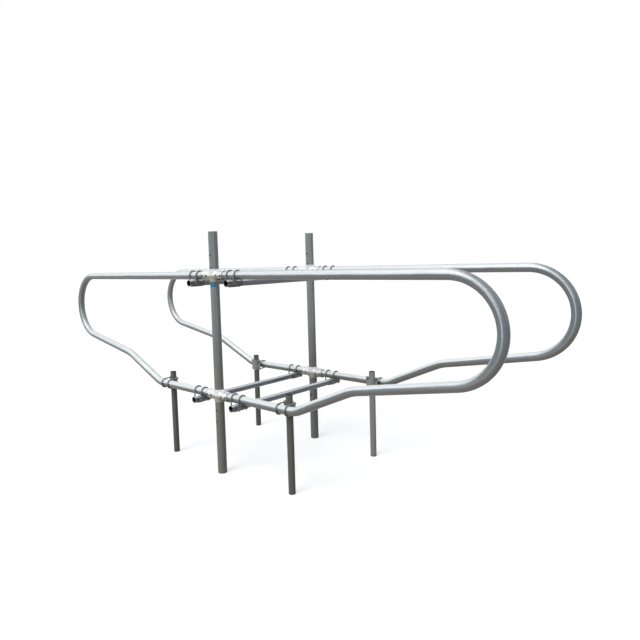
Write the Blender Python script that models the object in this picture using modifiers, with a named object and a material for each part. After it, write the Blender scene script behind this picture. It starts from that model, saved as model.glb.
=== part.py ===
"""Double cow free stall: two bolted tube dividers, tied together by four cross rails.

Each divider is a round post with a bent half loop on either side of it. Pressed clamp shells grip the
post and the butted ends of the loops, top and bottom. The rails pass under the loops and the legs
stand against them, and U-bolts over a pressed saddle hold both. X runs along the dividers, Y from
the near divider to the far one, and Z up from the ground between the two posts. Sizes in metres.
"""
import math

import bmesh
import bpy
from mathutils import Matrix, Vector

COLLECTION_NAME = "cow_free_stall"

# Half loops, measured on the centre line of their tube
DIVIDER_SPACING = 1.04
LOOP_TOP = 1.466
LOOP_BOTTOM = 0.584
LOOP_REACH = 2.126
LOOP_RADIUS = 0.030
LOOP_WALL = 0.003
INNER_BEND_X = 0.765
INNER_BEND_RADIUS = 0.22
OUTER_BEND_X = 1.228
OUTER_BEND_RISE = 0.203
OUTER_BEND_RADIUS = 0.368
ARM_SLOPE = 0.177
BUTT_GAP = 0.002

# Posts
POST_RADIUS = 0.034
POST_WALL = 0.0035
POST_ABOVE_LOOP = 0.317
POST_HOLE_RADIUS = 0.0075
POST_HOLE_PITCH = 0.0875
POST_HOLES_PER_GROUP = 2
UPPER_HOLE_OFFSET = 0.0565
LOWER_HOLE_OFFSET = 0.109

# Rails and legs, cut from the same pipe
PIPE_RADIUS = 0.024
PIPE_WALL = 0.003
RAIL_X = 0.215
RAIL_OVERHANG = 0.075
LEG_ABOVE_LOOP = 0.09
LEG_BEND_MARGIN = 0.008

# Pressed clamp shells round each post and the loop ends
SHELL_WALL = 0.0035
SHELL_HALF_LENGTH = 0.118
SHELL_HALF_HEIGHT = 0.047
SHELL_LIP = 0.004
SHELL_END_LIP = 0.0032
SHELL_HUMP_LIP = 0.008
SHELL_FILLET = 0.022
SHELL_FILLET_STEPS = 2
SHELL_SPLIT = 0.002

# Through bolts of the clamp shells
BOLT_RADIUS = 0.004
BOLT_FIRST_X = 0.057
BOLT_PITCH = 0.045
BOLT_HEAD_RADIUS = 0.0075
BOLT_HEAD_HEIGHT = 0.0055
BOLT_NUT_HEIGHT = 0.0065
BOLT_TAIL = 0.004

# U-bolts and saddles of the rails and legs
ROD_RADIUS = 0.005
ROD_PITCH = 0.082
ROD_TAIL = 0.008
ROD_NUT_RADIUS = 0.0098
ROD_NUT_HEIGHT = 0.008
SADDLE_WALL = 0.004
SADDLE_EDGE = 0.012

# Fits, and how finely the round forms are divided
CLEARANCE = 0.0003
TUBE_SIDES = 12
ROD_SIDES = 6
BEND_STEP = math.radians(17)
SMOOTH_LIMIT = math.radians(40)

# Sizes and places that follow from those above
POST_HEIGHT = LOOP_TOP + POST_ABOVE_LOOP
DIVIDER_Y = {"near": -DIVIDER_SPACING / 2, "far": DIVIDER_SPACING / 2}
INWARD = {"near": 1, "far": -1}
LOOP_LEVELS = {"upper": LOOP_TOP, "lower": LOOP_BOTTOM}
SIDES = {"left": -1, "right": 1}
CROSSING = LOOP_RADIUS + CLEARANCE + PIPE_RADIUS
ROD_LOOP_RADIUS = LOOP_RADIUS + CLEARANCE + ROD_RADIUS
ROD_NUT_BASE = CROSSING + SADDLE_WALL + CLEARANCE + ROD_NUT_HEIGHT
ROD_END = ROD_NUT_BASE + ROD_TAIL
SHELL_BORE = LOOP_RADIUS + CLEARANCE
SHELL_OUTER = SHELL_BORE + SHELL_WALL
HUMP_BORE = POST_RADIUS + CLEARANCE
HUMP_OUTER = HUMP_BORE + SHELL_WALL
BOLT_PLACES = (BOLT_FIRST_X, BOLT_FIRST_X + BOLT_PITCH)
BOLT_SEAT = SHELL_BORE + SHELL_WALL / 4
BOLT_REACH = SHELL_OUTER + BOLT_NUT_HEIGHT + BOLT_TAIL
INNER_BEND_ANGLE = math.atan(OUTER_BEND_RISE / (OUTER_BEND_X - INNER_BEND_X))
INNER_BEND_START = INNER_BEND_X - INNER_BEND_RADIUS * math.tan(INNER_BEND_ANGLE / 2)
LEG_X = INNER_BEND_START - LEG_BEND_MARGIN - ROD_RADIUS - ROD_PITCH / 2


def make_material(name, colour, roughness, metallic):
    made = bpy.data.materials.new(name)
    made.use_nodes = True
    shader = made.node_tree.nodes["Principled BSDF"]
    shader.inputs["Base Color"].default_value = (*colour, 1.0)
    shader.inputs["Roughness"].default_value = roughness
    shader.inputs["Metallic"].default_value = metallic
    return made


def turned(axis, quarters):
    """Rotation by whole quarter turns, with entries that are exactly 0, 1 or -1."""
    turn = Matrix.Rotation(quarters * math.pi / 2, 4, axis)
    return Matrix([[round(value) for value in row] for row in turn])


def bench_object(name, data):
    """An object that is only needed while a piece is being made."""
    thing = bpy.data.objects.new(name, data)
    bpy.context.scene.collection.objects.link(thing)
    return thing


def evaluated_mesh(thing):
    """A free copy of an object's mesh, with its modifiers and its place applied."""
    bpy.context.view_layer.update()
    graph = bpy.context.evaluated_depsgraph_get()
    mesh = bpy.data.meshes.new_from_object(thing.evaluated_get(graph))
    mesh.transform(thing.matrix_world)
    return mesh


def mesh_from(form, name):
    mesh = bpy.data.meshes.new(name)
    form.to_mesh(mesh)
    form.free()
    return mesh


def welded(mesh):
    """The mesh with its loose caps joined to its sides."""
    form = bmesh.new()
    form.from_mesh(mesh)
    bmesh.ops.remove_doubles(form, verts=form.verts, dist=0.00001)
    bmesh.ops.recalc_face_normals(form, faces=form.faces)
    return mesh_from(form, mesh.name)


def curve_mesh(curve, points, place):
    """Mesh of a curve that gets one straight-sided spline through the points."""
    spline = curve.splines.new("POLY")
    spline.points.add(len(points) - 1)
    spline.use_cyclic_u = curve.dimensions == "2D"
    for point, spot in zip(spline.points, points):
        point.co = (*spot, 1.0)
    guide = bench_object(curve.name, curve)
    guide.matrix_world = place
    mesh = evaluated_mesh(guide)
    bpy.data.objects.remove(guide)
    bpy.data.curves.remove(curve)
    return mesh


def swept_tube(line, radius, sides, caps):
    """Round tube along a line of (x, z) points in the XZ plane."""
    path = bpy.data.curves.new("path", "CURVE")
    path.dimensions = "3D"
    path.bevel_depth = radius
    path.bevel_resolution = (sides - 4) // 2
    path.use_fill_caps = caps
    mesh = curve_mesh(path, [(x, 0.0, z) for x, z in line], Matrix.Identity(4))
    return welded(mesh) if caps else mesh


def extruded(outline, low, high):
    """Flat outline of (x, z) points, given its thickness between two depths along Y."""
    flat = bpy.data.curves.new("outline", "CURVE")
    flat.dimensions = "2D"
    flat.fill_mode = "BOTH"
    flat.extrude = (high - low) / 2
    place = Matrix.Translation((0, (low + high) / 2, 0)) @ turned("X", 1)
    form = bmesh.new()
    form.from_mesh(welded(curve_mesh(flat, [(x, z, 0.0) for x, z in outline], place)))
    bmesh.ops.dissolve_limit(form, angle_limit=0.001, verts=form.verts, edges=form.edges)
    return mesh_from(form, "extruded")


def prism(radius, low, high, sides=TUBE_SIDES, axis="Z", place=(0, 0, 0)):
    """Closed round or many-sided bar between two heights on an axis through a place."""
    form = bmesh.new()
    bmesh.ops.create_cone(form, cap_ends=True, segments=sides, radius1=radius, radius2=radius,
                          depth=high - low)
    turn = {"X": turned("Y", 1), "Y": turned("X", -1), "Z": Matrix.Identity(4)}[axis]
    form.transform(Matrix.Translation(place) @ turn @ Matrix.Translation((0, 0, (low + high) / 2)))
    return mesh_from(form, "prism")


def block(low, high):
    """Closed box between two corners."""
    form = bmesh.new()
    bmesh.ops.create_cube(form, size=1.0)
    size = Vector(high) - Vector(low)
    middle = (Vector(low) + Vector(high)) / 2
    form.transform(Matrix.Translation(middle) @ Matrix.Diagonal((*size, 1.0)))
    return mesh_from(form, "block")


def combined(base, tools):
    """The base after each (operation, mesh) of the tools, in their order."""
    body = bench_object("body", base)
    helpers = [bench_object("tool", mesh) for operation, mesh in tools]
    for (operation, mesh), helper in zip(tools, helpers):
        step = body.modifiers.new(operation.lower(), "BOOLEAN")
        step.operation = operation
        step.solver = "EXACT"
        step.object = helper
    mesh = evaluated_mesh(body)
    for thing in [body] + helpers:
        bpy.data.objects.remove(thing)
    return mesh


def hollowed(skin, wall):
    """The open tube given a wall inside its surface, with a rim at each end."""
    body = bench_object("skin", skin)
    solid = body.modifiers.new("wall", "SOLIDIFY")
    solid.thickness = wall
    solid.offset = -1
    solid.use_even_offset = True
    solid.use_rim = True
    mesh = evaluated_mesh(body)
    bpy.data.objects.remove(body)
    return mesh


def clear_corner(shank_radius):
    """Corner radius of a many-sided hole whose flats clear a shank."""
    return (shank_radius + CLEARANCE) / math.cos(math.pi / ROD_SIDES)


def drills(radius, sides, low, high, axis, places):
    """Cuts for a row of holes along one axis."""
    return [("DIFFERENCE", prism(radius, low, high, sides, axis, place)) for place in places]


def arc_points(centre, radius, start, end):
    """Points along an arc in the XZ plane, both ends included."""
    steps = max(2, math.ceil(abs(end - start) / BEND_STEP))
    angles = [start + (end - start) * step / steps for step in range(steps + 1)]
    return [(centre[0] + radius * math.cos(a), centre[1] + radius * math.sin(a)) for a in angles]


def bend_points(before, corner, after, radius):
    """Arc that rounds the corner between two straight stretches."""
    into = (Vector(corner) - Vector(before)).normalized()
    out = (Vector(after) - Vector(corner)).normalized()
    turn = math.atan2(into.x * out.y - into.y * out.x, into.dot(out))
    start = Vector(corner) - into * radius * math.tan(abs(turn) / 2)
    to_centre = Vector((-into.y, into.x)) * math.copysign(1, turn)
    centre = start + to_centre * radius
    first = math.atan2(-to_centre.y, -to_centre.x)
    return arc_points(centre, radius, first, first + turn)


def half_loop_line():
    """Centre line of the right half loop, out along the top, round the bow and back along the bottom."""
    start_x = POST_RADIUS + BUTT_GAP
    outer_bend = (OUTER_BEND_X, LOOP_BOTTOM + OUTER_BEND_RISE)
    inner_bend = (INNER_BEND_X, LOOP_BOTTOM)
    drop = LOOP_TOP - outer_bend[1] - ARM_SLOPE * (LOOP_REACH - OUTER_BEND_X)
    bow_radius = drop / (math.hypot(1, ARM_SLOPE) + 1 - ARM_SLOPE)
    bow_centre = (LOOP_REACH - bow_radius, LOOP_TOP - bow_radius)
    bow = arc_points(bow_centre, bow_radius, math.pi / 2, 0)
    bow += arc_points(bow_centre, bow_radius, 0, math.atan(ARM_SLOPE) - math.pi / 2)[1:]
    last = (start_x, LOOP_BOTTOM)
    outer = bend_points(bow[-1], outer_bend, inner_bend, OUTER_BEND_RADIUS)
    inner = bend_points(outer_bend, inner_bend, last, INNER_BEND_RADIUS)
    return [(start_x, LOOP_TOP)] + bow + outer + inner + [last]


def half_loop_mesh():
    """Bent hollow tube, drilled near both ends for the clamp bolts."""
    tube = hollowed(swept_tube(half_loop_line(), LOOP_RADIUS, TUBE_SIDES, caps=False), LOOP_WALL)
    places = [(x, 0, z) for x in BOLT_PLACES for z in LOOP_LEVELS.values()]
    return combined(tube, drills(clear_corner(BOLT_RADIUS), ROD_SIDES, -2 * LOOP_RADIUS, 2 * LOOP_RADIUS,
                                 "Y", places))


def pipe_mesh(radius, wall, low, high, axis="Z"):
    """Straight hollow pipe between two places on an axis."""
    bore = prism(radius - wall, low - radius, high + radius, axis=axis)
    return combined(prism(radius, low, high, axis=axis), [("DIFFERENCE", bore)])


def post_mesh():
    """Hollow post with a group of cross holes above the upper clamp and one below the lower clamp."""
    heights = []
    for row in range(POST_HOLES_PER_GROUP):
        heights.append(LOOP_TOP + UPPER_HOLE_OFFSET + row * POST_HOLE_PITCH)
        heights.append(LOOP_BOTTOM - LOWER_HOLE_OFFSET - row * POST_HOLE_PITCH)
    post = pipe_mesh(POST_RADIUS, POST_WALL, 0, POST_HEIGHT)
    return combined(post, drills(POST_HOLE_RADIUS, 8, -2 * POST_RADIUS, 2 * POST_RADIUS, "Y",
                                 [(0, 0, z) for z in heights]))


def rail_mesh():
    reach = DIVIDER_SPACING / 2 + RAIL_OVERHANG
    return pipe_mesh(PIPE_RADIUS, PIPE_WALL, -reach, reach, "Y")


def leg_mesh():
    return pipe_mesh(PIPE_RADIUS, PIPE_WALL, 0, LOOP_BOTTOM + LEG_ABOVE_LOOP)


def shell_outline(spare):
    """Outline of a clamp shell's rim: a long sleeve that swells round the post through fillets."""
    arm = SHELL_OUTER + SHELL_LIP
    hump = HUMP_OUTER + SHELL_HUMP_LIP
    sweep = math.acos(max(1 - (SHELL_HALF_HEIGHT + spare - arm) / SHELL_FILLET, -1.0))
    foot = hump + SHELL_FILLET * math.sin(sweep)
    turns = [sweep * step / SHELL_FILLET_STEPS for step in range(SHELL_FILLET_STEPS + 1)]
    quarter = [(SHELL_HALF_LENGTH + spare, SHELL_OUTER + SHELL_END_LIP)]
    quarter += [(foot - SHELL_FILLET * math.sin(a), arm + SHELL_FILLET * (1 - math.cos(a))) for a in turns]
    upper = quarter + [(-x, z) for x, z in reversed(quarter)]
    return upper + [(x, -z) for x, z in reversed(upper)]


def shell_mesh():
    """Half of a cross clamp, on the -Y side of the crossing, trimmed to its length and height."""
    face = -SHELL_SPLIT / 2
    reach = 2 * SHELL_HALF_LENGTH
    trim = block((-SHELL_HALF_LENGTH, -reach, -SHELL_HALF_HEIGHT),
                 (SHELL_HALF_LENGTH, face, SHELL_HALF_HEIGHT))
    rim = extruded(shell_outline(SHELL_WALL), face - SHELL_WALL, face + SHELL_WALL)
    sleeve = prism(SHELL_OUTER, -reach, reach, axis="X")
    return combined(sleeve, [
        ("UNION", prism(HUMP_OUTER, -reach, reach)),
        ("UNION", rim),
        ("INTERSECT", trim),
        ("DIFFERENCE", prism(SHELL_BORE, -reach, reach, axis="X")),
        ("DIFFERENCE", prism(HUMP_BORE, -reach, reach)),
    ])


def bolt_places():
    """Where the four through bolts of a cross clamp pass its sleeve, about the post's axis."""
    return [(side * x, 0, 0) for side in SIDES.values() for x in BOLT_PLACES]


def bolt_shell_mesh():
    """The shell on the side of the bolt heads, with its four bolts through the loop ends."""
    head = -SHELL_OUTER - BOLT_HEAD_HEIGHT
    steps = []
    for place in bolt_places():
        steps.append(("UNION", prism(BOLT_HEAD_RADIUS, head, -BOLT_SEAT, 6, "Y", place)))
        steps.append(("UNION", prism(BOLT_RADIUS, -SHELL_OUTER, BOLT_REACH, ROD_SIDES, "Y", place)))
    return combined(shell_mesh(), steps)


def nut_shell_mesh():
    """The shell on the side of the nuts, drilled through with them to clear the bolts."""
    nut = -SHELL_OUTER - BOLT_NUT_HEIGHT
    steps = [("UNION", prism(BOLT_HEAD_RADIUS, nut, -BOLT_SEAT, 6, "Y", place)) for place in bolt_places()]
    return combined(shell_mesh(), steps + drills(clear_corner(BOLT_RADIUS), ROD_SIDES, 2 * nut, 0, "Y",
                                                 bolt_places()))


def saddle_mesh():
    """Pressed hat-section saddle that holds a pipe along Y below a loop tube that runs along X."""
    channel = PIPE_RADIUS + CLEARANCE
    back = channel + SADDLE_WALL
    brim = ROD_PITCH / 2 + SADDLE_EDGE
    half_length = ROD_LOOP_RADIUS + SADDLE_EDGE
    turns = TUBE_SIDES // 2
    lift = math.asin(SADDLE_WALL / back)
    inside = [math.pi + math.pi * k / turns for k in range(turns + 1)]
    outside = [-lift - (math.pi - 2 * lift) * k / turns for k in range(turns + 1)]
    outline = [(-brim, 0.0)] + [(channel * math.cos(a), channel * math.sin(a)) for a in inside]
    outline += [(brim, 0.0), (brim, -SADDLE_WALL)]
    outline += [(back * math.cos(a), back * math.sin(a)) for a in outside] + [(-brim, -SADDLE_WALL)]
    sheet = extruded([(x, z - CROSSING) for x, z in outline], -half_length, half_length)
    places = [(side * ROD_PITCH / 2, end * ROD_LOOP_RADIUS, 0) for side in (-1, 1) for end in (-1, 1)]
    return combined(sheet, drills(clear_corner(ROD_RADIUS), ROD_SIDES, -2 * CROSSING, 0, "Z", places))


def u_bolt_mesh():
    """A U-bolt over the loop tube, across the middle of the crossing, with its two nuts."""
    turns = TUBE_SIDES // 2
    over = [math.pi - math.pi * k / turns for k in range(turns + 1)]
    line = [(-ROD_LOOP_RADIUS, -ROD_END)]
    line += [(ROD_LOOP_RADIUS * math.cos(a), ROD_LOOP_RADIUS * math.sin(a)) for a in over]
    line += [(ROD_LOOP_RADIUS, -ROD_END)]
    rod = swept_tube(line, ROD_RADIUS, ROD_SIDES, caps=True)
    rod.transform(turned("Z", 1))
    nuts = [prism(ROD_NUT_RADIUS, -ROD_NUT_BASE, ROD_NUT_HEIGHT - ROD_NUT_BASE, 6,
                  place=(0, end * ROD_LOOP_RADIUS, 0)) for end in (-1, 1)]
    return combined(rod, [("UNION", nut) for nut in nuts])


def add_part(name, mesh, material, place=Matrix.Identity(4)):
    """Put a finished piece in the stall, shaded smooth between its edges."""
    if not mesh.materials:
        mesh.materials.append(material)
        mesh.shade_smooth()
        mesh.set_sharp_from_angle(angle=SMOOTH_LIMIT)
    part = bpy.data.objects.new(name, mesh)
    part.matrix_world = place
    bpy.data.collections[COLLECTION_NAME].objects.link(part)


def add_divider(divider, meshes, finish):
    """Post, half loops and cross clamps of one divider, with the bolt heads on its outer side."""
    middle = Matrix.Translation((0, DIVIDER_Y[divider], 0))
    half_turn = turned("Z", 2)
    outward = Matrix.Identity(4) if divider == "near" else half_turn
    add_part(f"{divider}_post", meshes["post"], finish["post"], middle)
    add_part(f"{divider}_right_half_loop", meshes["half_loop"], finish["loop"], middle)
    add_part(f"{divider}_left_half_loop", meshes["half_loop"], finish["loop"], middle @ half_turn)
    for level, z in LOOP_LEVELS.items():
        crossing = Matrix.Translation((0, DIVIDER_Y[divider], z)) @ outward
        name = f"{divider}_{level}_clamp"
        add_part(f"{name}_bolt_shell", meshes["bolt_shell"], finish["clamp"], crossing)
        add_part(f"{name}_nut_shell", meshes["nut_shell"], finish["clamp"], crossing @ half_turn)


def add_crossing(name, side, crossing, meshes, finish):
    """Saddle and U-bolts where a rail or leg meets a loop."""
    add_part(f"{name}_saddle", meshes["saddle"], finish["saddle"], crossing)
    for where, sign in (("inner", -1), ("outer", 1)):
        shift = Matrix.Translation((sign * SIDES[side] * ROD_PITCH / 2, 0, 0))
        add_part(f"{name}_{where}_u_bolt", meshes["u_bolt"], finish["fastener"], crossing @ shift)


def add_rails_and_legs(meshes, finish):
    """Rails under the loops, legs on the inner sides of the dividers, and what holds them."""
    for side, sign in SIDES.items():
        for level, z in LOOP_LEVELS.items():
            spot = Matrix.Translation((sign * RAIL_X, 0, z - CROSSING))
            add_part(f"{level}_{side}_rail", meshes["rail"], finish["rail"], spot)
        for divider, y in DIVIDER_Y.items():
            for level, z in LOOP_LEVELS.items():
                crossing = Matrix.Translation((sign * RAIL_X, y, z))
                add_crossing(f"{divider}_{level}_{side}_rail", side, crossing, meshes, finish)
            spot = Matrix.Translation((sign * LEG_X, y + INWARD[divider] * CROSSING, 0))
            add_part(f"{divider}_{side}_leg", meshes["leg"], finish["leg"], spot)
            crossing = Matrix.Translation((sign * LEG_X, y, LOOP_BOTTOM)) @ turned("X", INWARD[divider])
            add_crossing(f"{divider}_{side}_leg", side, crossing, meshes, finish)


def build_stall():
    for thing in list(bpy.data.objects):
        bpy.data.objects.remove(thing)
    bpy.context.scene.collection.children.link(bpy.data.collections.new(COLLECTION_NAME))
    finish = {
        "loop": make_material("galvanised_loop", (0.62, 0.64, 0.65), 0.32, 1.0),
        "post": make_material("galvanised_post", (0.36, 0.40, 0.40), 0.5, 1.0),
        "rail": make_material("galvanised_rail", (0.50, 0.52, 0.54), 0.38, 1.0),
        "leg": make_material("weathered_leg", (0.22, 0.21, 0.19), 0.6, 1.0),
        "clamp": make_material("bright_clamp", (0.72, 0.73, 0.74), 0.25, 1.0),
        "saddle": make_material("pressed_saddle", (0.45, 0.45, 0.44), 0.45, 1.0),
        "fastener": make_material("dull_fastener", (0.34, 0.35, 0.35), 0.45, 1.0),
    }
    meshes = {
        "half_loop": half_loop_mesh(),
        "post": post_mesh(),
        "rail": rail_mesh(),
        "leg": leg_mesh(),
        "bolt_shell": bolt_shell_mesh(),
        "nut_shell": nut_shell_mesh(),
        "saddle": saddle_mesh(),
        "u_bolt": u_bolt_mesh(),
    }
    for divider in DIVIDER_Y:
        add_divider(divider, meshes, finish)
    add_rails_and_legs(meshes, finish)


build_stall()
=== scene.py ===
"""Looks of the double cow free stall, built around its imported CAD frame.

Every tube, pressing and fastener is a surface worked out on a grid with numpy. Sizes are in metres.
X runs along the dividers, Y from the near divider to the far one, and Z up from the ground.
"""
import math

import bmesh
import bpy
import numpy as np
from mathutils import Matrix, Vector


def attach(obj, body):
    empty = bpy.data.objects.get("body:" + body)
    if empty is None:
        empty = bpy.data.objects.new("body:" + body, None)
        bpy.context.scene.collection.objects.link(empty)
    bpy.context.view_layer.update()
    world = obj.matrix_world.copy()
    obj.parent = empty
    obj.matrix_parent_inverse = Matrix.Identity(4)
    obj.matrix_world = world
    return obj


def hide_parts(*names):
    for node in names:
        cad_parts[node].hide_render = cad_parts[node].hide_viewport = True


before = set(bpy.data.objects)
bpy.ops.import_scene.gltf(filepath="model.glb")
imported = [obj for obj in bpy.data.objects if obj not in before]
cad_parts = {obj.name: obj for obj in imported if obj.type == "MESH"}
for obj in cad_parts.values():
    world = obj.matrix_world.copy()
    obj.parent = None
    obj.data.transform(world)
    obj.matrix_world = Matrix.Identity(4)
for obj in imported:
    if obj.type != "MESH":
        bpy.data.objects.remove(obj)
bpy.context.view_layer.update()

# The same sizes as the CAD
DIVIDER_SPACING = 1.04
LOOP_TOP = 1.466
LOOP_BOTTOM = 0.584
LOOP_REACH = 2.126
LOOP_RADIUS = 0.030
LOOP_WALL = 0.003
INNER_BEND_X = 0.765
INNER_BEND_RADIUS = 0.22
OUTER_BEND_X = 1.228
OUTER_BEND_RISE = 0.203
OUTER_BEND_RADIUS = 0.368
ARM_SLOPE = 0.177
BUTT_GAP = 0.002
POST_RADIUS = 0.034
POST_WALL = 0.0035
POST_HEIGHT = 1.783
POST_HOLE_RADIUS = 0.0075
POST_HOLE_HEIGHTS = (0.3875, 0.475, 1.5225, 1.61)
PIPE_RADIUS = 0.024
PIPE_WALL = 0.003
RAIL_X = 0.215
RAIL_REACH = 0.595
LEG_X = 0.66489
LEG_HEIGHT = 0.674
SHELL_WALL = 0.0035
SHELL_HALF_LENGTH = 0.118
SHELL_HALF_HEIGHT = 0.047
SHELL_LIP = 0.004
SHELL_HUMP_LIP = 0.008
SHELL_SPLIT = 0.002
BOLT_PLACES = (0.057, 0.102)
BOLT_RADIUS = 0.004
BOLT_HEAD_RADIUS = 0.0075
BOLT_HEAD_HEIGHT = 0.0055
BOLT_NUT_HEIGHT = 0.0065
BOLT_TAIL = 0.004
ROD_RADIUS = 0.005
ROD_PITCH = 0.082
ROD_TAIL = 0.008
ROD_NUT_RADIUS = 0.0098
ROD_NUT_HEIGHT = 0.008
SADDLE_WALL = 0.004
SADDLE_EDGE = 0.012
CLEARANCE = 0.0003

CROSSING = LOOP_RADIUS + CLEARANCE + PIPE_RADIUS
CHANNEL = PIPE_RADIUS + CLEARANCE
ROD_LOOP_RADIUS = LOOP_RADIUS + CLEARANCE + ROD_RADIUS
ROD_NUT_BASE = CROSSING + SADDLE_WALL + CLEARANCE + ROD_NUT_HEIGHT
ROD_END = ROD_NUT_BASE + ROD_TAIL
SHELL_OUTER = LOOP_RADIUS + CLEARANCE + SHELL_WALL
HUMP_OUTER = POST_RADIUS + CLEARANCE + SHELL_WALL
DIVIDER_Y = {"near": -DIVIDER_SPACING / 2, "far": DIVIDER_SPACING / 2}
INWARD = {"near": 1, "far": -1}
SIDES = {"left": -1, "right": 1}
LEVELS = {"upper": LOOP_TOP, "lower": LOOP_BOTTOM}

# How finely the surfaces are divided, how near points merge, and where an edge stays sharp
TUBE_SIDES = 48
PIPE_SIDES = 40
ROD_SIDES = 16
HEXAGON_SIDES = 48
DRILL_SIDES = 24
BEND_STEP = math.radians(3)
ROD_ARC_POINTS = 31
THREAD_ROWS = 6
SHELL_BULGE_POINTS = 33
SHELL_ARM_POINTS = 18
SHELL_LIP_POINTS = 6
SADDLE_FILLET_POINTS = 7
SADDLE_ARC_POINTS = 14
CHAMFER_ROWS = 4
MERGE_DISTANCE = 1e-7
SHARP = math.radians(35)

# Shapes that only the looks need
SAW_EASE = 0.0004
DRILL_REACH = 0.05
THREAD_PITCH = 0.0015
THREAD_DEPTH = 0.0007
THREAD_LENGTH = 0.028
SADDLE_FILLET = 0.004
# The turns over which a thread runs out, the length of a tapered tip, and the share of its radius
# that each tip keeps
RUN_OUT_TURNS = 3
TIP_LENGTH = 2 * THREAD_DEPTH
BOLT_TIP = 0.8
ROD_TIP = 0.82
# Top of a hexagon: the share of its flats that is left, and how deep its corners are cut
CROWN_SHARE = 0.96
CHAMFER_SHARE = 0.135
# How far round each nut or bolt head is left by the spanner, and how deep a head sits in its shell
NUT_TURN = 0.4
BOLT_TURN = 0.5
BOLT_SINK = 0.0012
# Clamp shell: how far round its bulges go before the rim, where its rim narrows, and its fillets
SHELL_SWEEP = math.radians(84)
SHELL_ARM_START = 1.03
SHELL_SHOULDER_EARLY = 0.004
SHELL_SHOULDER = 0.022
SHELL_TAPER_START = 0.08
SHELL_TAPER_LENGTH = 0.038
SHELL_TAPER = 0.0006
SHELL_VALLEY_FILLET = 0.008
SHELL_RIM_FILLET = 0.004

# Patterns on the zinc: features per metre, how strong the finer layers are, and the relief
CLOUD_SCALE = 6.0
GRAIN_SCALE = 210.0
SPECK_SCALE = 75.0
FLAKE_SCALE = 150.0
STREAK_SCALE = (0.8, 62.0, 1.0)
FINER_LAYERS = 0.55
RELIEF_STRENGTH = 0.35
RELIEF_DEPTH = 0.0005

# Where each effect starts and where it is full. The painted light on top and the painted reflection
# on the crests go by how far the surface faces up, as does the painted light and shade of the low
# arms, and the painted shade underneath by how far it faces down. Specks go by their pattern, the
# soil of the bows by how far out they face, and the soil of the feet and the darker band at their
# sawn ends by height, counted downwards.
PAINTED_LIGHT_FACING = (-0.08, 0.1)
ARM_PAINTED_LIGHT_FACING = (-0.6, 0.6)
CREST_REFLECTION_FACING = (0.7, 1.0)
UNDERSIDE_SHADE_FACING = (0.05, 0.75)
SPECK_LEVELS = (0.18, 0.28)
BOW_OUTSIDE = (0.2, 2.0)
FOOT_HEIGHTS = (-1.35, -0.3)
SAWN_HEIGHTS = (-0.012, -0.004)

# How much each metre of a pressing's height counts as facing up, for its painted light
PRESSING_RISE = 12.0
# How strong each effect is at its fullest, and how wide the painted shadow at a rim and its soft
# edge are
PAINTED_LIGHT_MOST = 0.8
PAINTED_LIGHT_ON_STEEP = 0.2
CREST_REFLECTION_MOST = 0.35
BOW_SOIL = 0.9
RIM_SHADOW = 0.85
RIM_WIDTH = 0.003
RIM_SOFT = 0.001
# The painted shade inside a bore: how strong it is and its colour
BORE_SHADE = 0.8
BORE_SHADE_COLOUR = (0.015, 0.014, 0.013)
# A ring of a tube is the bore's where its radius is under this share of the widest
BORE_SHARE = 0.95

# The tape round the near post: its edges, how far off the middle of the post it ends, and its fray
TAPE_LOW = 1.382
TAPE_HIGH = 1.4185
TAPE_OFF_MIDDLE = 0.011
TAPE_FRAY = 0.004
TAPE_FRAY_SCALE = 90.0
TAPE_EDGE = 0.001
TAPE_END = 0.0025
TAPE_BLUE = (0.027, 0.195, 0.342)

# Viewpoint and stage
CAMERA_PLACE = (3.2038, -3.0602, 1.5632)
CAMERA_YAW, CAMERA_PITCH, CAMERA_ROLL = 0.7712, -0.0789, -0.0321
CAMERA_LENS = 31.4
CAMERA_SHIFT = (0.05, -0.0253)
SUN_STRENGTH = 1.85
SUN_WIDTH = math.radians(35)
SUN_FROM = (0.0, -0.85, 1.0)
SKY_LEAST = 0.3
SKY_OVERHEAD = 0.35
SKY_ASIDE = 0.25
SKY_DARK_SIDE = (0.7, 0.72, 0.0)
SKY_TINT = (0.92, 0.97, 1.0)
FLOOR_REACH = 60
FLOOR_GLOW = 0.6
FLOOR_BOUNCE = (0.2, 0.18, 0.16)
FLOOR_GREY = (0.5, 0.5, 0.5)
WHITE = (1.0, 1.0, 1.0)


class Shade:
    """A shader value, so that shader maths is written as Python expressions."""

    def __init__(self, tree, socket=None):
        self.tree = tree
        self.socket = socket

    def node(self, kind, settings, sockets, output=0):
        """Any other node: its type, its settings, the values or links of its sockets, and the
        output to read."""
        made = self.tree.nodes.new(kind)
        for name, value in settings.items():
            setattr(made, name, value)
        for name, value in sockets.items():
            if isinstance(value, Shade):
                self.tree.links.new(value.socket, made.inputs[name])
            else:
                made.inputs[name].default_value = value
        return Shade(self.tree, made.outputs[output] if made.outputs else None)

    def maths(self, operation, first, second):
        """A Math node on two values."""
        return self.node("ShaderNodeMath", {"operation": operation}, {0: first, 1: second})

    def __add__(self, other):
        return self.maths("ADD", self, other)

    def __sub__(self, other):
        return self.maths("SUBTRACT", self, other)

    def __rsub__(self, other):
        return self.maths("SUBTRACT", other, self)

    def __mul__(self, other):
        return self.maths("MULTIPLY", self, other)

    __radd__ = __add__
    __rmul__ = __mul__

    def larger(self, other):
        """The larger of two values."""
        return self.maths("MAXIMUM", self, other)

    def between(self, low, high):
        """0 up to the low value, 1 from the high value, and a smooth rise between them."""
        return self.node("ShaderNodeMapRange", {"interpolation_type": "SMOOTHSTEP"},
                         {"Value": self, "From Min": low, "From Max": high})

    def mix(self, first, second):
        """The first colour where this is 0 and the second where it is 1."""
        return self.node("ShaderNodeMix", {"data_type": "RGBA"}, {0: self, 6: first, 7: second}, 2)

    def axis(self, name):
        """The part of a place or a direction along X, Y or Z."""
        return self.node("ShaderNodeSeparateXYZ", {}, {0: self}, name)


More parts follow.
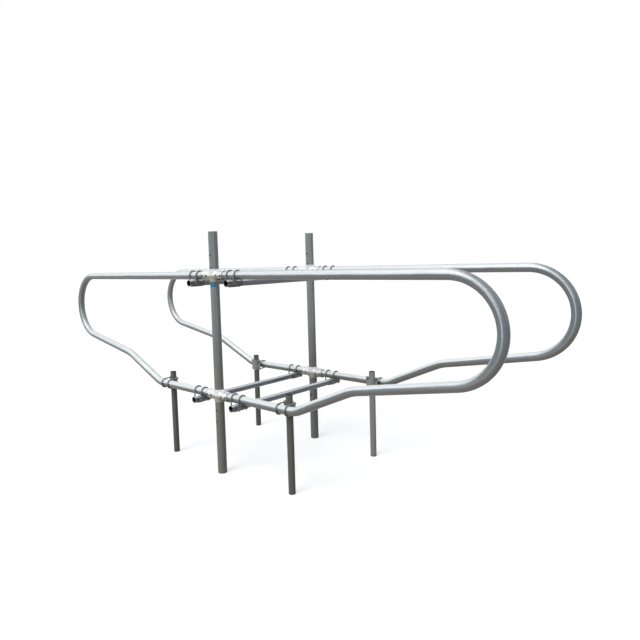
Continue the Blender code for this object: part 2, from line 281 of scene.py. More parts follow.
def noise(place, scale, detail):
    """Soft random pattern round 0, from about -0.5 to 0.5."""
    return place.node("ShaderNodeTexNoise", {},
                      {"Vector": place, "Scale": scale, "Detail": detail,
                       "Roughness": FINER_LAYERS}) - 0.5


def stretched(place, scale):
    """The place with each of its three lengths multiplied, so that a pattern on it is drawn out."""
    return place.node("ShaderNodeMapping", {}, {"Vector": place, "Scale": scale})


def rgba(colour):
    """A colour with the fourth number that a socket takes."""
    return (*colour, 1.0)


class Skin:
    """What a zinc finish reads at each point: its place, how it faces, the marks of a tube, and
    four patterns round 0. Depth is how far it lies under the upper tubes, times grime, the weight
    of its painted shade and weathering lower down."""

    def __init__(self, tree, grime_and_shade, patchy):
        start = Shade(tree)
        self.place = start.node("ShaderNodeTexCoord", {}, {}, "Object")
        self.reach, self.height = self.place.axis("X"), self.place.axis("Z")
        self.depth = (LOOP_TOP - self.height).larger(0.0) * grime_and_shade
        normal = start.node("ShaderNodeNewGeometry", {}, {}, "Normal")
        self.facing, self.sideways = normal.axis("Z"), normal.axis("X")
        self.steep = start.node("ShaderNodeAttribute", {"attribute_name": "steep"}, {}, "Fac")
        self.bore = start.node("ShaderNodeAttribute", {"attribute_name": "bore"}, {}, "Fac")

        # Slow clouds, fine grain, streaks along the tube and one tone for each crystal
        along = start.node("ShaderNodeTexCoord", {}, {}, "UV")
        self.cloud = noise(self.place, CLOUD_SCALE, 5.0) * patchy
        self.grain = noise(self.place, GRAIN_SCALE, 3.0) * patchy
        self.streak = noise(stretched(along, STREAK_SCALE), 1.0, 3.0) * patchy
        crystal = start.node("ShaderNodeTexVoronoi", {"feature": "F1"},
                             {"Vector": self.place, "Scale": FLAKE_SCALE}, "Color")
        self.flake = (start.node("ShaderNodeSeparateColor", {}, {0: crystal}, 0) - 0.5) * patchy


def painted_top_light(skin, line, middle):
    """Painted light: how far the zinc is drawn lit, as if by light from above.

    The painted light starts at a normal that rises by line. Depth moves that start up and softens
    it, most on the long side, where the cattle stand. Steep tube is painted lit in streaks only,
    and a pressing is painted lit above its middle height.
    """
    line_there = skin.depth * (skin.reach * 0.2 + 0.36) * (1.0 - skin.steep * 0.3)
    upward = skin.facing if middle is None else skin.facing + (skin.height - middle) * PRESSING_RISE
    above_line = upward - line_there.larger(line) + skin.cloud * 0.15
    streaked = skin.streak * (skin.steep * 0.6 + 0.15)
    lit_share = (above_line * (1.0 - skin.depth * 0.8) + streaked).between(*PAINTED_LIGHT_FACING)
    climb = skin.steep * (1.0 - skin.depth)
    return lit_share * (PAINTED_LIGHT_MOST - climb * 1.2).larger(PAINTED_LIGHT_ON_STEEP)


def crest_reflection(skin):
    """Painted reflection: how much darker the crest of the tubes is drawn, most on the upper ones.
    """
    crest = skin.facing + (skin.cloud + skin.streak) * 0.3
    return crest.between(*CREST_REFLECTION_FACING) * (1.0 - skin.depth).larger(0.0) * CREST_REFLECTION_MOST


def painted_light_and_pattern_tone(skin, line, middle):
    """0 for the dull colour and 1 for the bright: the painted light on top, less the painted
    reflection on the crest, with all four patterns. Low arms are painted a little lighter above
    than below."""
    tone = painted_top_light(skin, line, middle) - crest_reflection(skin)
    tone = tone + skin.cloud * 0.3 + skin.grain * 0.2 + skin.flake * 0.12
    # On steep tube the streaks grow into painted reflection bands
    tone = tone + skin.streak * (skin.steep * 2.8 + 0.3)
    # Painted light and shade on low arms: lighter above than below
    tone = tone + (skin.facing.between(*ARM_PAINTED_LIGHT_FACING) - 0.5) * skin.depth * 0.35 + 0.1
    return tone.between(0.0, 1.0)


def underside_shade(skin):
    """Painted shade underneath: how far a surface faces down, and more of it on low arms."""
    downward = skin.cloud * 0.4 + skin.streak * 0.3 - skin.facing + skin.depth * 0.45
    return downward.between(*UNDERSIDE_SHADE_FACING)


def soil_and_shadow(skin, low, sawn, rim):
    """Soil that gathers towards the ground and on the outside of low bows, a darker band where a
    sawn end stands on the ground, and painted shadow at the rims of a pressing, where its shell
    ends."""
    foot = (skin.cloud * 0.4 - skin.height).between(*FOOT_HEIGHTS) * low
    end = (skin.height * -1.0).between(*SAWN_HEIGHTS) * sawn
    outside = (skin.sideways * skin.reach + skin.streak * 2.0).between(*BOW_OUTSIDE)
    soil = foot.larger(end).larger(outside * skin.depth * BOW_SOIL)
    # Painted shadow at the rims of a pressing, where a shell ends on the tube
    if rim:
        away = skin.reach.larger(skin.reach * -1.0) + skin.grain * 0.004
        edge = rim - RIM_WIDTH
        soil = soil.larger(away.between(edge, edge + RIM_SOFT) * RIM_SHADOW)
    return soil


def zinc(name, bright, dull, under, roughness, metallic, soil=(0.09, 0.083, 0.072), line=0.08,
         grime_and_shade=0.0, low=0.0, sawn=0.0, specks=0.35, patchy=1.0, middle=None, rim=None, tape=False):
    """Galvanised steel with painted light and shade: the bright colour above, and the dull colour
    on its sides and the under colour below as painted shade, with zinc crystals, clouds, streaks
    along the tube, dark specks, soil and painted shade in the bores.

    The line is the normal at which the painted light starts, and grime is how much a lower place is
    painted darker and weathers more. Low, sawn and specks are the most soil towards the ground, the
    most darkening on a sawn end and the most soil in specks, and patchy is the strength of the
    patterns. A pressing has a middle height, above which it is painted lit, and a rim, which is
    that far from the post and carries a painted shadow.
    """
    made = bpy.data.materials.new(name)
    made.use_nodes = True
    tree = made.node_tree
    skin = Skin(tree, grime_and_shade, patchy)
    speck = noise(skin.place, SPECK_SCALE, 2.0).between(*SPECK_LEVELS) * specks
    # Soil, specks, a darker band at a sawn foot and the painted shadow at a pressing's rims
    dirt_and_shadow = soil_and_shadow(skin, low, sawn, rim).larger(speck)

    # Painted light and shade: the bright colour where lit from above, the dull one on the sides
    colour = painted_light_and_pattern_tone(skin, line, middle).mix(rgba(dull), rgba(bright))
    # Painted shade underneath, drifting to the soil colour on low arms
    colour = underside_shade(skin).mix(colour, (skin.depth * 0.5).mix(rgba(under), rgba(soil)))
    colour = dirt_and_shadow.mix(colour, rgba(soil))
    # Painted shade inside the bores
    colour = (skin.bore * BORE_SHADE).mix(colour, rgba(BORE_SHADE_COLOUR))
    if tape:
        taped = tape_mask(skin.place) * (skin.grain * 0.3 + 0.95)
        colour = taped.mix(colour, rgba(TAPE_BLUE))

    rough = roughness + (skin.cloud + skin.streak) * 0.15 + skin.flake * 0.12 + dirt_and_shadow * 0.2
    relief = skin.streak * 0.5 + skin.grain * 0.35 + skin.flake * 0.2 - speck
    bump = relief.node("ShaderNodeBump", {}, {"Strength": RELIEF_STRENGTH * patchy,
                                              "Distance": RELIEF_DEPTH, "Height": relief})
    shader = tree.nodes["Principled BSDF"]
    shader.inputs["Metallic"].default_value = metallic
    for socket, value in (("Base Color", colour), ("Roughness", rough), ("Normal", bump)):
        tree.links.new(value.socket, shader.inputs[socket])
    return made


def tape_mask(place):
    """1 on the strip of tape round the outer side of the near post, just under its upper clamp."""
    y, z = place.axis("Y"), place.axis("Z")
    fray = noise(place, TAPE_FRAY_SCALE, 2.0) * TAPE_FRAY
    end = DIVIDER_SPACING / 2 + TAPE_OFF_MIDDLE
    side = (y * -1.0 + fray).between(end, end + TAPE_END)
    above_low_edge = (z + fray).between(TAPE_LOW, TAPE_LOW + TAPE_EDGE)
    below_high_edge = (z * -1.0 + fray).between(-TAPE_HIGH, TAPE_EDGE - TAPE_HIGH)
    return side * above_low_edge * below_high_edge


def grid_mesh(name, grids):
    """One closed mesh from grids of points: every four neighbouring points make a face.

    A grid is (points, wrap_rows, wrap_columns), with points an array of rows by columns by 3, and a
    wrapped grid joins its last row or column to its first. Points that coincide, as at a pole, are
    merged. Its UV map holds metres: the way along the rows, and the way round the columns. The
    points of a tube closed both ways are marked with how steep it is and where its bore is.
    """
    corners, faces, maps, marks, first = [], [], [], [], 0
    for points, wrap_rows, wrap_columns in grids:
        rows, columns = points.shape[:2]
        i = np.arange(rows if wrap_rows else rows - 1)[:, None]
        j = np.arange(columns if wrap_columns else columns - 1)[None, :]
        next_i, next_j = (i + 1) % rows, (j + 1) % columns
        ends = np.broadcast_arrays(i * columns + j, i * columns + next_j,
                                   next_i * columns + next_j, next_i * columns + j)
        faces.append(np.stack(ends, axis=-1).reshape(-1, 4) + first)
        corners.append(points.reshape(-1, 3))
        first += rows * columns
        steps = np.linalg.norm(np.roll(points, -1, axis=0) - points, axis=2).mean(axis=1)
        turns = np.linalg.norm(np.roll(points, -1, axis=1) - points, axis=2).mean(axis=0)
        u = np.concatenate([[0], np.cumsum(steps)])
        v = np.concatenate([[0], np.cumsum(turns)])
        places = np.broadcast_arrays(u[i], v[j], u[i], v[j + 1],
                                     u[i + 1], v[j + 1], u[i + 1], v[j])
        maps.append(np.stack(places, axis=-1).reshape(-1, 2))
        marks.append(np.repeat(tube_marks(points) * (wrap_rows and wrap_columns), columns, axis=0))
    corners, faces, maps, marks = (np.concatenate(part) for part in (corners, faces, maps, marks))
    mesh = bpy.data.meshes.new(name)
    mesh.vertices.add(len(corners))
    mesh.vertices.foreach_set("co", corners.astype(np.float32).ravel())
    mesh.loops.add(faces.size)
    mesh.loops.foreach_set("vertex_index", faces.astype(np.int32).ravel())
    mesh.polygons.add(len(faces))
    mesh.polygons.foreach_set("loop_start", np.arange(0, faces.size, 4, dtype=np.int32))
    mesh.update(calc_edges=True)
    mesh.uv_layers.new(name="UVMap").data.foreach_set("uv", maps.astype(np.float32).ravel())
    mark_points(mesh, marks[:, 0], marks[:, 1])
    form = bmesh.new()
    form.from_mesh(mesh)
    bmesh.ops.remove_doubles(form, verts=form.verts, dist=MERGE_DISTANCE)
    bmesh.ops.recalc_face_normals(form, faces=form.faces)
    form.to_mesh(mesh)
    form.free()
    return mesh


def tube_marks(points):
    """Two marks for each ring of a tube: the upward share of the step through its centre, and 1 if
    it is the bore's."""
    centres = points.mean(axis=1)
    step = np.roll(centres, -1, axis=0) - np.roll(centres, 1, axis=0)
    steep = np.abs(step[:, 2]) / np.maximum(np.linalg.norm(step, axis=1), 1e-9)
    radii = np.linalg.norm(points - centres[:, None, :], axis=2).mean(axis=1)
    return np.stack([steep, radii < BORE_SHARE * radii.max()], axis=1)


def mark_points(mesh, steep, bore):
    """Keep the two marks of a tube's points as attributes, for its material."""
    for name, values in (("steep", steep), ("bore", bore)):
        layer = mesh.attributes.get(name) or mesh.attributes.new(name, "FLOAT", "POINT")
        layer.data.foreach_set("value", values.astype(np.float32))


def circles(centres, across, beside, radii, sides):
    """Rings carried along a line: centre + radius * (cos a * across + sin a * beside)."""
    a = np.linspace(0, 2 * np.pi, sides, endpoint=False)[None, :, None]
    radii = np.asarray(radii, float)
    radii = radii[:, None] if radii.ndim == 1 else radii
    spokes = np.cos(a) * across[:, None, :] + np.sin(a) * beside[:, None, :]
    return centres[:, None, :] + radii[:, :, None] * spokes


def turned_grid(heights, radii, sides):
    """A profile of heights and radii turned round the Z axis. A radius may differ from side to
    side."""
    count = len(heights)
    centres = np.stack([np.zeros(count), np.zeros(count), np.asarray(heights, float)], axis=1)
    across = np.tile([1.0, 0.0, 0.0], (count, 1))
    beside = np.tile([0.0, 1.0, 0.0], (count, 1))
    return circles(centres, across, beside, radii, sides)


def placed(points, place):
    """The points after a 4 by 4 matrix."""
    turn = np.array(place)
    return points @ turn[:3, :3].T + turn[:3, 3]


def arc(centre, radius, start, end):
    """Points and headings on an arc: centre + radius (cos a, sin a), heading a quarter turn on."""
    count = math.ceil(abs(end - start) / BEND_STEP) + 1
    a = np.linspace(start, end, count)
    points = np.asarray(centre) + radius * np.stack([np.cos(a), np.sin(a)], axis=1)
    return points, a + np.sign(end - start) * np.pi / 2


def bend(before, corner, after, radius):
    """The arc that rounds the corner between two straight stretches, tangent to both: it starts
    radius * tan(turn / 2) before the corner."""
    into = (corner - before) / np.linalg.norm(corner - before)
    out = (after - corner) / np.linalg.norm(after - corner)
    turn = math.atan2(into[0] * out[1] - into[1] * out[0], into @ out)
    to_centre = np.array([-into[1], into[0]]) * np.sign(turn)
    centre = corner - into * radius * math.tan(abs(turn) / 2) + to_centre * radius
    first = math.atan2(-to_centre[1], -to_centre[0])
    return arc(centre, radius, first, first + turn)


def half_loop_line():
    """Centre line of the right half loop in X and Z, with its headings: level out at the top, one
    arc round the bow, in along the sloping arm, and through two bends to the level bottom.

    The bow touches the top and the arm, so its radius is drop / (sqrt(1 + slope^2) + 1 - slope),
    where drop is how far under the top the arm would be if it went on to the loop's full reach.
    """
    start = np.array([POST_RADIUS + BUTT_GAP, LOOP_TOP])
    last = np.array([POST_RADIUS + BUTT_GAP, LOOP_BOTTOM])
    outer_corner = np.array([OUTER_BEND_X, LOOP_BOTTOM + OUTER_BEND_RISE])
    inner_corner = np.array([INNER_BEND_X, LOOP_BOTTOM])
    drop = LOOP_TOP - outer_corner[1] - ARM_SLOPE * (LOOP_REACH - OUTER_BEND_X)
    bow_radius = drop / (math.hypot(1, ARM_SLOPE) + 1 - ARM_SLOPE)
    bow = arc((LOOP_REACH - bow_radius, LOOP_TOP - bow_radius), bow_radius, np.pi / 2,
              math.atan(ARM_SLOPE) - np.pi / 2)
    outer = bend(bow[0][-1], outer_corner, inner_corner, OUTER_BEND_RADIUS)
    inner = bend(outer_corner, inner_corner, last, INNER_BEND_RADIUS)
    points = np.concatenate([[start], bow[0], outer[0], inner[0], [last]])
    headings = np.concatenate([[0.0], bow[1], outer[1], inner[1], [-np.pi]])
    return points, headings


def half_loop_grid():
    """The bent tube: rings out along its outside and back along its bore, closed into one ring of
    rows."""
    points, headings = half_loop_line()
    count = len(points)
    centres = np.stack([points[:, 0], np.zeros(count), points[:, 1]], axis=1)
    across = np.stack([-np.sin(headings), np.zeros(count), np.cos(headings)], axis=1)
    beside = np.tile([0.0, 1.0, 0.0], (count, 1))
    order = np.concatenate([np.arange(count), np.arange(count)[::-1]])
    radii = np.repeat([LOOP_RADIUS, LOOP_RADIUS - LOOP_WALL], count)
    return circles(centres[order], across[order], beside[order], radii, TUBE_SIDES)


def pipe_grid(low, high, radius, wall, sides):
    """Straight pipe on the Z axis with its sawn edges eased: out along the outside, back along the
    bore."""
    ease, bore = SAW_EASE, radius - wall
    heights = [low, low + ease, high - ease, high, high, high - ease, low + ease, low]
    radii = [radius - ease, radius, radius, radius - ease, bore + ease, bore, bore, bore + ease]
    return turned_grid(heights, radii, sides)


def hexagon_grid(radius, height):
    """Nut or bolt head standing on Z = 0: the smaller of a hexagon, apothem / cos(angle from its
    flat's middle), and of a cone that cuts the corners at the top. It is closed by a point in each
    face."""
    a = np.linspace(0, 2 * np.pi, HEXAGON_SIDES, endpoint=False)
    apothem = radius * math.cos(math.pi / 6)
    hexagon = apothem / np.cos((a + np.pi / 6) % (np.pi / 3) - np.pi / 6)
    steps = np.linspace(0, 1, CHAMFER_ROWS)
    cone = radius + (apothem * CROWN_SHARE - radius) * steps
    heights = np.concatenate([[0, 0], height - CHAMFER_SHARE * radius * (1 - steps), [height]])
    point = 0 * hexagon[None, :]
    top = np.minimum(hexagon[None, :], cone[:, None])
    return turned_grid(heights, np.concatenate([point, hexagon[None, :], top, point]),
                       HEXAGON_SIDES)


def thread_wave(lengths):
    """How much of the thread's depth is cut, by length along a rod and angle round it:
    (1 + cos(2 pi length / pitch - angle)) / 2."""
    a = np.linspace(0, 2 * np.pi, ROD_SIDES, endpoint=False)
    return 0.5 + 0.5 * np.cos(2 * np.pi * lengths[:, None] / THREAD_PITCH - a[None, :])


def tip_taper(lengths, least):
    """The share of a rod's radius that is left, by length from its tip: least, growing to 1."""
    return least + (1 - least) * np.clip(lengths / TIP_LENGTH, 0, 1)[:, None]


def bolt_tail_grid(high):
    """Threaded end of a clamp bolt, up from 0 on the Z axis, less its thread wave and with a
    tapered tip. It is closed by a point at each end."""
    z = np.linspace(0, high, round(high / THREAD_PITCH * THREAD_ROWS))
    radii = (BOLT_RADIUS - THREAD_DEPTH * thread_wave(z)) * tip_taper(high - z, BOLT_TIP)
    point = np.zeros((1, ROD_SIDES))
    return turned_grid(np.concatenate([[0], z, [high]]), np.concatenate([point, radii, point]),
                       ROD_SIDES)


def u_bolt_grid():
    """Rod over the loop tube in the YZ plane: two straight tails joined by half a circle, less
    their thread wave near their ends, where it runs out over a few turns."""
    thread = np.linspace(0, THREAD_LENGTH, round(THREAD_LENGTH / THREAD_PITCH * THREAD_ROWS))
    over = np.linspace(np.pi, 0, ROD_ARC_POINTS)
    tail = np.concatenate([[0.0], thread])
    z = np.concatenate([tail - ROD_END, ROD_LOOP_RADIUS * np.sin(over), tail[::-1] - ROD_END])
    y = np.concatenate([0 * tail - ROD_LOOP_RADIUS, ROD_LOOP_RADIUS * np.cos(over),
                        0 * tail + ROD_LOOP_RADIUS])
    turn = np.concatenate([0 * tail + np.pi, over, 0 * tail])
    centres = np.stack([0 * y, y, z], axis=1)
    across = np.stack([0 * y, np.cos(turn), np.sin(turn)], axis=1)
    beside = np.tile([1.0, 0.0, 0.0], (len(y), 1))
    run_out = np.clip((THREAD_LENGTH - thread) / (RUN_OUT_TURNS * THREAD_PITCH), 0, 1)[:, None]
    end = (ROD_RADIUS - THREAD_DEPTH * thread_wave(thread) * run_out) * tip_taper(thread, ROD_TIP)
    end = np.concatenate([np.zeros((1, ROD_SIDES)), end])
    plain = np.full((ROD_ARC_POINTS, ROD_SIDES), ROD_RADIUS)
    return circles(centres, across, beside, np.concatenate([end, plain, end[::-1]]), ROD_SIDES)


def softly_more(first, second, reach):
    """The larger of two heights, with a fillet where they are nearly equal:
    max(a, b) + max(reach - |a - b|, 0) squared / (4 reach)."""
    near = np.maximum(reach - np.abs(first - second), 0)
    return np.maximum(first, second) + near ** 2 / (4 * reach)


def shell_skin(inset, rim):
    """One face of a clamp shell, an inset below its outside: half a sleeve along X and half a wider
    one along Z, each sqrt(radius^2 - distance^2) deep, run into each other and into the rim with
    fillets. Its edge narrows smoothly past the hump, and a little more towards its ends."""
    sleeve_radius, post_radius = SHELL_OUTER - inset, HUMP_OUTER - inset
    swing = np.sin(np.linspace(-SHELL_SWEEP, SHELL_SWEEP, SHELL_BULGE_POINTS))
    arm = np.linspace(post_radius * SHELL_ARM_START, SHELL_HALF_LENGTH, SHELL_ARM_POINTS)
    x = np.concatenate([-arm[::-1], post_radius * swing, arm])
    half = np.abs(x)
    shoulder = HUMP_OUTER + SHELL_HUMP_LIP - SHELL_SHOULDER_EARLY
    ramp = np.clip((half - shoulder) / SHELL_SHOULDER, 0, 1)
    taper = np.clip((half - SHELL_TAPER_START) / SHELL_TAPER_LENGTH, 0, 1)
    arm_edge = SHELL_OUTER + SHELL_LIP - SHELL_TAPER * taper
    edge = SHELL_HALF_HEIGHT - (SHELL_HALF_HEIGHT - arm_edge) * ramp * ramp * (3 - 2 * ramp)
    bend_z = sleeve_radius * math.sin(SHELL_SWEEP)
    lip = bend_z + (edge[:, None] - bend_z) * np.linspace(0, 1, SHELL_LIP_POINTS)[None, 1:]
    z = np.concatenate([-lip[:, ::-1], np.tile(sleeve_radius * swing, (len(x), 1)), lip], axis=1)
    x = np.repeat(x[:, None], z.shape[1], axis=1)
    sleeve = np.sqrt(np.maximum(sleeve_radius ** 2 - z ** 2, 0))
    post = np.sqrt(np.maximum(post_radius ** 2 - x ** 2, 0))
    bulge = softly_more(sleeve, post, SHELL_VALLEY_FILLET)
    return np.stack([x, -softly_more(bulge, rim, SHELL_RIM_FILLET), z], axis=-1)


def edge_band(outer, inner):
    """The cut edge between two faces of one sheet: the border points of each, joined in order."""
    return np.stack([np.concatenate([face[0, :-1], face[:-1, -1], face[-1, :0:-1], face[:0:-1, 0]])
                     for face in (outer, inner)])


def saddle_line():
    """Inner line of the saddle in X and Z: brim, fillet, half circle round the pipe, and the same
    again on the other side. The fillet touches the brim and the half circle, which it meets at an
    angle of asin(fillet / (channel + fillet)) under the brim."""
    fillet = SADDLE_FILLET
    lean = math.asin(fillet / (CHANNEL + fillet))
    corner = np.array([(CHANNEL + fillet) * math.cos(lean), -fillet])
    brim = ROD_PITCH / 2 + SADDLE_EDGE
    a = np.linspace(np.pi / 2, np.pi + lean, SADDLE_FILLET_POINTS)
    right = corner + fillet * np.stack([np.cos(a), np.sin(a)], axis=1)
    b = np.linspace(-lean, -np.pi / 2, SADDLE_ARC_POINTS)
    round_right = CHANNEL * np.stack([np.cos(b), np.sin(b)], axis=1)
    half = np.concatenate([[[brim, 0.0]], right[:-1], round_right])
    return np.concatenate([half, (half * [-1, 1])[-2::-1]])


def saddle_grids():
    """Saddle sheet: the inner line and the same line a wall further out, carried along Y, with its
    cut edges eased and its two ends closed."""
    line = saddle_line()
    ahead = np.gradient(line, axis=0)
    out = np.stack([-ahead[:, 1], ahead[:, 0]], axis=1)
    out /= np.linalg.norm(out, axis=1)[:, None]
    section = np.concatenate([line, (line + out * SADDLE_WALL)[::-1]])
    middle = line + out * SADDLE_WALL / 2
    thin = np.concatenate([middle, middle[::-1]])
    inset = section + (thin - section) * (SAW_EASE / (SADDLE_WALL / 2))
    half = ROD_LOOP_RADIUS + SADDLE_EDGE

    def carried(row, y):
        """The row of points at one place along Y, lowered from the pipe to the loop tube."""
        return np.stack([row[:, 0], 0 * row[:, 0] + y, row[:, 1] - CROSSING], axis=1)

    walls = np.stack([carried(inset, -half), carried(section, SAW_EASE - half),
                      carried(section, half - SAW_EASE), carried(inset, half)])
    ends = [carried(inset, y) for y in (-half, half)]
    caps = [(np.stack([flat[:len(line)], flat[:len(line) - 1:-1]]), False, False) for flat in ends]
    return [(walls, False, True)] + caps


def add_piece(name, mesh, material, body, slot, *nodes):
    """Put a finished mesh in the scene, riding on its body in place of its CAD nodes."""
    mesh.materials.clear()
    mesh.materials.append(material)
    mesh.shade_smooth()
    mesh.set_sharp_from_angle(angle=SHARP)
    piece = bpy.data.objects.new(name, mesh)
    bpy.context.scene.collection.objects.link(piece)
    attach(piece, body)
    if nodes:
        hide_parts(*nodes)


def holes_cut(mesh, drill):
    """The mesh after a Boolean cut with the drill."""
    work = bpy.data.objects.new("work", mesh)
    tool = bpy.data.objects.new("drill", drill)
    for thing in (work, tool):
        bpy.context.scene.collection.objects.link(thing)
    cut = work.modifiers.new("cut", "BOOLEAN")
    cut.operation = "DIFFERENCE"
    cut.solver = "EXACT"
    cut.object = tool
    bpy.context.view_layer.update()
    finished = work.evaluated_get(bpy.context.evaluated_depsgraph_get())
    drilled = bpy.data.meshes.new_from_object(finished)
    for thing in (work, tool):
        bpy.data.objects.remove(thing)
    return drilled


def post_mesh(y):
    """Post pipe with its through holes along Y, and its marks made again after the cut."""
    pipe = pipe_grid(0.0, POST_HEIGHT, POST_RADIUS, POST_WALL, TUBE_SIDES)
    past, radius = DRILL_REACH, POST_HOLE_RADIUS
    rod = turned_grid([-past, -past, past, past], [0, radius, radius, 0], DRILL_SIDES)
    drills = []
    for height in POST_HOLE_HEIGHTS:
        place = Matrix.Translation((0, y, height)) @ Matrix.Rotation(math.pi / 2, 4, "X")
        drills.append((placed(rod, place), False, True))
    spot = Matrix.Translation((0, y, 0))
    mesh = holes_cut(grid_mesh("post", [(placed(pipe, spot), True, True)]),
                     grid_mesh("drill", drills))
    points = np.empty(3 * len(mesh.vertices), np.float32)
    mesh.vertices.foreach_get("co", points)
    x, off_y = points[0::3], points[1::3] - y
    mark_points(mesh, np.ones(len(x)), np.hypot(x, off_y) < POST_RADIUS - 2 * SAW_EASE)
    return mesh


def u_bolt_mesh(name, place, sign):
    """U-bolt with its two nuts, at one side of a crossing."""
    shift = place @ Matrix.Translation((sign * ROD_PITCH / 2, 0, 0))
    grids = [(placed(u_bolt_grid(), shift), False, True)]
    for end in (-1, 1):
        seat = (0, end * ROD_LOOP_RADIUS, ROD_NUT_HEIGHT - ROD_NUT_BASE)
        turn = Matrix.Rotation(math.pi, 4, "X") @ Matrix.Rotation(end * NUT_TURN, 4, "Z")
        spot = shift @ Matrix.Translation(seat) @ turn
        grids.append((placed(hexagon_grid(ROD_NUT_RADIUS, ROD_NUT_HEIGHT), spot), False, True))
    return grid_mesh(name, grids)


def clamp_mesh(name, place):
    """Pressed clamp shell on the -Y side: its outer face, its inner face and the edge between."""
    outer = shell_skin(0.0, SHELL_SPLIT / 2 + SHELL_WALL)
    inner = shell_skin(SHELL_WALL, SHELL_SPLIT / 2)
    faces = [(placed(face, place), False, False) for face in (outer, inner)]
    return grid_mesh(name, faces + [(placed(edge_band(outer, inner), place), False, True)])


def clamp_bolts_mesh(name, place, heads):
    """The heads of a clamp's four bolts, or their nuts and threaded tails."""
    grids = []
    height = BOLT_SINK + (BOLT_HEAD_HEIGHT if heads else BOLT_NUT_HEIGHT)
    for number, x in enumerate(side * x for side in SIDES.values() for x in BOLT_PLACES):
        seat = Matrix.Translation((x, BOLT_SINK - SHELL_OUTER, 0))
        turn = Matrix.Rotation(math.pi / 2, 4, "X") @ Matrix.Rotation(BOLT_TURN * number, 4, "Z")
        spot = place @ seat @ turn
        grids.append((placed(hexagon_grid(BOLT_HEAD_RADIUS, height), spot), False, True))
        if not heads:
            grids.append((placed(bolt_tail_grid(height + BOLT_TAIL), spot), False, True))
    return grid_mesh(name, grids)


def add_divider(divider, finish):
    """One post with its two half loops and its two cross clamps."""
    y = DIVIDER_Y[divider]
    middle = Matrix.Translation((0, y, 0))
    half_turn = Matrix.Rotation(math.pi, 4, "Z")
    add_piece(f"{divider}_post_pipe", post_mesh(y), finish[f"{divider}_post"], "frame",
              "galvanised_post", f"{divider}_post")
    for side, turn in (("right", middle), ("left", middle @ half_turn)):
        mesh = grid_mesh("half_loop", [(placed(half_loop_grid(), turn), True, True)])
        add_piece(f"{divider}_{side}_loop_tube", mesh, finish["loop"], "frame",
                  "galvanised_loop", f"{divider}_{side}_half_loop")
    outward = middle if divider == "near" else middle @ half_turn
    for level, z in LEVELS.items():
        crossing = Matrix.Translation((0, 0, z)) @ outward
        for kind, place in (("bolt", crossing), ("nut", crossing @ half_turn)):
            node = f"{divider}_{level}_clamp_{kind}_shell"
            add_piece(f"{node}_pressing", clamp_mesh(node, place), finish[f"{level}_clamp"],
                      "frame", "bright_clamp", node)
            add_piece(f"{divider}_{level}_clamp_{kind}s",
                      clamp_bolts_mesh(node, place, kind == "bolt"), finish["bolt"], "frame",
                      "dull_fastener")


def add_crossing(node, side, place, sheet, finish):
    """The saddle and the two U-bolts that hold a rail or a leg to a loop tube. The sheet is the
    saddle's finish."""
    saddle = grid_mesh("saddle", [(placed(points, place), rows, columns)
                                  for points, rows, columns in saddle_grids()])
    add_piece(f"{node}_saddle_sheet", saddle, finish[sheet], "frame", "pressed_saddle",
              f"{node}_saddle")
    for where, sign in (("inner", -1), ("outer", 1)):
        name = f"{node}_{where}_u_bolt"
        add_piece(f"{name}_rod", u_bolt_mesh(name, place, sign * SIDES[side]), finish["fastener"],
                  "frame", "dull_fastener", name)


def add_rails_and_legs(finish):
    """The cross rails and the legs, each with the crossings that hold it."""
    rail = pipe_grid(-RAIL_REACH, RAIL_REACH, PIPE_RADIUS, PIPE_WALL, PIPE_SIDES)
    leg = pipe_grid(0.0, LEG_HEIGHT, PIPE_RADIUS, PIPE_WALL, PIPE_SIDES)
    for side, sign in SIDES.items():
        for level, z in LEVELS.items():
            spot = Matrix.Translation((sign * RAIL_X, 0, z - CROSSING))
            spot = spot @ Matrix.Rotation(-math.pi / 2, 4, "X")
            add_piece(f"{level}_{side}_rail_pipe",
                      grid_mesh("rail", [(placed(rail, spot), True, True)]), finish["rail"],
                      "frame", "galvanised_rail", f"{level}_{side}_rail")
        for divider, y in DIVIDER_Y.items():
            for level, z in LEVELS.items():
                spot = Matrix.Translation((sign * RAIL_X, y, z))
                add_crossing(f"{divider}_{level}_{side}_rail", side, spot, "saddle", finish)
            name = f"{divider}_{side}_leg"
            spot = Matrix.Translation((sign * LEG_X, y + INWARD[divider] * CROSSING, 0))
            add_piece(f"{name}_pipe", grid_mesh("leg", [(placed(leg, spot), True, True)]),
                      finish["pale_leg" if name == "far_right_leg" else "leg"], name,
                      "weathered_leg", name)
            turn = Matrix.Rotation(INWARD[divider] * math.pi / 2, 4, "X")
            spot = Matrix.Translation((sign * LEG_X, y, LOOP_BOTTOM)) @ turn
            add_crossing(name, side, spot, "leg_saddle", finish)


def add_camera():
    """The photograph's viewpoint, found from the ends of the posts, the rails and the loops."""
    yaw, pitch, roll = CAMERA_YAW, CAMERA_PITCH, CAMERA_ROLL
    ahead = Vector((-math.sin(yaw) * math.cos(pitch), math.cos(yaw) * math.cos(pitch),
                    math.sin(pitch)))
    right = Vector((math.cos(yaw), math.sin(yaw), 0))
    up = right.cross(ahead)
    camera_right = right * math.cos(roll) + up * math.sin(roll)
    camera_up = up * math.cos(roll) - right * math.sin(roll)
    camera = bpy.data.objects.new("camera", bpy.data.cameras.new("camera"))
    bpy.context.scene.collection.objects.link(camera)
    turn = Matrix((camera_right, camera_up, -ahead)).transposed().to_4x4()
    camera.matrix_world = Matrix.Translation(CAMERA_PLACE) @ turn
    camera.data.lens = CAMERA_LENS
    camera.data.shift_x, camera.data.shift_y = CAMERA_SHIFT
    bpy.context.scene.camera = camera


def seen(start):
    """1 for what the camera sees, straight, mirrored or through glass, and 0 for light on its
    way."""
    path = [start.node("ShaderNodeLightPath", {}, {}, name)
            for name in ("Is Camera Ray", "Is Glossy Ray", "Is Transmission Ray")]
    return path[0].larger(path[1]).larger(path[2])


